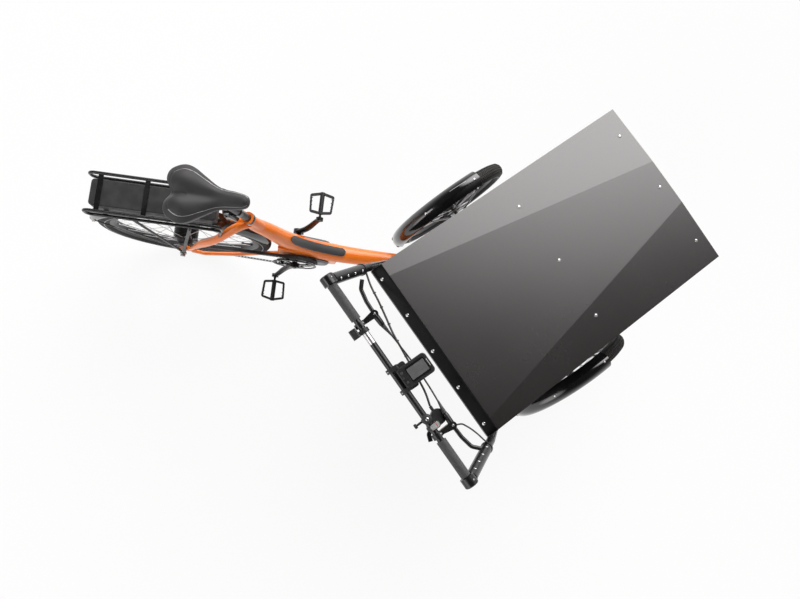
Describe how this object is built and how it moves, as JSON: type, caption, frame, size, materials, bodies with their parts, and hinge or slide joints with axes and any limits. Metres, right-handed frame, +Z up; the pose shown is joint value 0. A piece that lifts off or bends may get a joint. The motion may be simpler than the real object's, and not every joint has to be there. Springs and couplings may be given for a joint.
{
  "type": "electric cargo tricycle",
  "caption": "Front-loading electric cargo tricycle with a lidded box between two front wheels, centre-pivot steering and a low orange rear frame.",
  "frame": {"origin": "middle of the parked tricycle's footprint box, on the ground", "axes": "+Z up, -Y the way the rear frame rides, +X to the rider's left"},
  "size_m": [1.398, 2.3319, 1.1515],
  "materials": {
    "orange_paint": "gloss orange powder coat",
    "black_paint": "satin black powder coat",
    "gloss_black": "gloss black",
    "black_plastic": "matt moulded",
    "battery_case": "matt moulded",
    "box_panel": "satin black panel",
    "motor_case": "satin grey casting",
    "rubber": "matt",
    "tyre": "matt tread",
    "wheel_metal": "black anodised rim, steel spokes",
    "steel": "satin",
    "saddle_cover": "matt synthetic leather",
    "reflector": "red prismatic",
    "cable": "satin"
  },
  "bodies": {
    "frame": {"main_frame": "orange_paint", "motor": "motor_case", "seat_stays": "orange_paint", "chain_stays": "orange_paint", "rear_axle": "steel", "seatpost": "black_paint", "saddle_rails": "steel", "saddle": "saddle_cover", "chain": "steel", "chain_guard": "black_plastic", "beam_pad": "rubber", "rear_rack": "black_paint", "battery": "battery_case", "rear_mudguard": "black_plastic", "rear_reflector": "reflector"},
    "rear_wheel": {"rear_tyre": "tyre", "rear_wheel": "wheel_metal"},
    "crankset": {"cranks": "black_paint", "chainring": "black_paint"},
    "left_pedal": {"left_pedal": "black_plastic"},
    "right_pedal": {"right_pedal": "black_plastic"},
    "front_unit": {"front_chassis": "black_paint", "box_floor": "box_panel", "box_side_left": "box_panel", "box_side_right": "box_panel", "box_front": "box_panel", "box_rear": "box_panel", "hinge_strip": "gloss_black", "handlebar": "black_paint", "handlebar_arms": "black_paint", "grips": "rubber", "display": "black_plastic", "brake_levers": "black_paint", "front_left_mudguard": "gloss_black", "front_right_mudguard": "gloss_black", "brake_calipers": "black_paint", "front_reflectors": "reflector", "bell": "black_plastic", "shifter": "black_plastic", "assist_switch": "black_plastic", "cables": "cable"},
    "lid": {"lid": "gloss_black"},
    "front_left_wheel": {"front_left_tyre": "tyre", "front_left_wheel": "wheel_metal"},
    "front_right_wheel": {"front_right_tyre": "tyre", "front_right_wheel": "wheel_metal"}
  },
  "joints": [
    {"name": "steering", "type": "hinge", "parent": "frame", "child": "front_unit", "pos_m": [0.10928, -0.56262, 0.284], "axis": [0, 0, 1], "range_deg": [-84.8, 1.2]},
    {"name": "front_left_wheel_spin", "type": "hinge", "parent": "front_unit", "child": "front_left_wheel", "pos_m": [0.38675, -0.22332, 0.263], "axis": [0.7455, 0.6665, 0], "continuous": true},
    {"name": "front_right_wheel_spin", "type": "hinge", "parent": "front_unit", "child": "front_right_wheel", "pos_m": [-0.25884, -0.80053, 0.263], "axis": [0.7455, 0.6665, 0], "continuous": true},
    {"name": "lid_hinge", "type": "hinge", "parent": "front_unit", "child": "lid", "pos_m": [-0.26865, -0.13993, 0.894], "axis": [-0.7455, -0.6665, 0], "range_deg": [0, 80]},
    {"name": "rear_wheel_spin", "type": "hinge", "parent": "frame", "child": "rear_wheel", "pos_m": [0.10928, 0.82538, 0.335], "axis": [1, 0, 0], "continuous": true},
    {"name": "crank_spin", "type": "hinge", "parent": "frame", "child": "crankset", "pos_m": [0.10928, 0.39038, 0.287], "axis": [1, 0, 0], "continuous": true},
    {"name": "left_pedal_spin", "type": "hinge", "parent": "crankset", "child": "left_pedal", "pos_m": [0.27028, 0.31057, 0.4371], "axis": [1, 0, 0], "continuous": true},
    {"name": "right_pedal_spin", "type": "hinge", "parent": "crankset", "child": "right_pedal", "pos_m": [-0.05172, 0.47019, 0.1369], "axis": [1, 0, 0], "continuous": true}
  ]
}
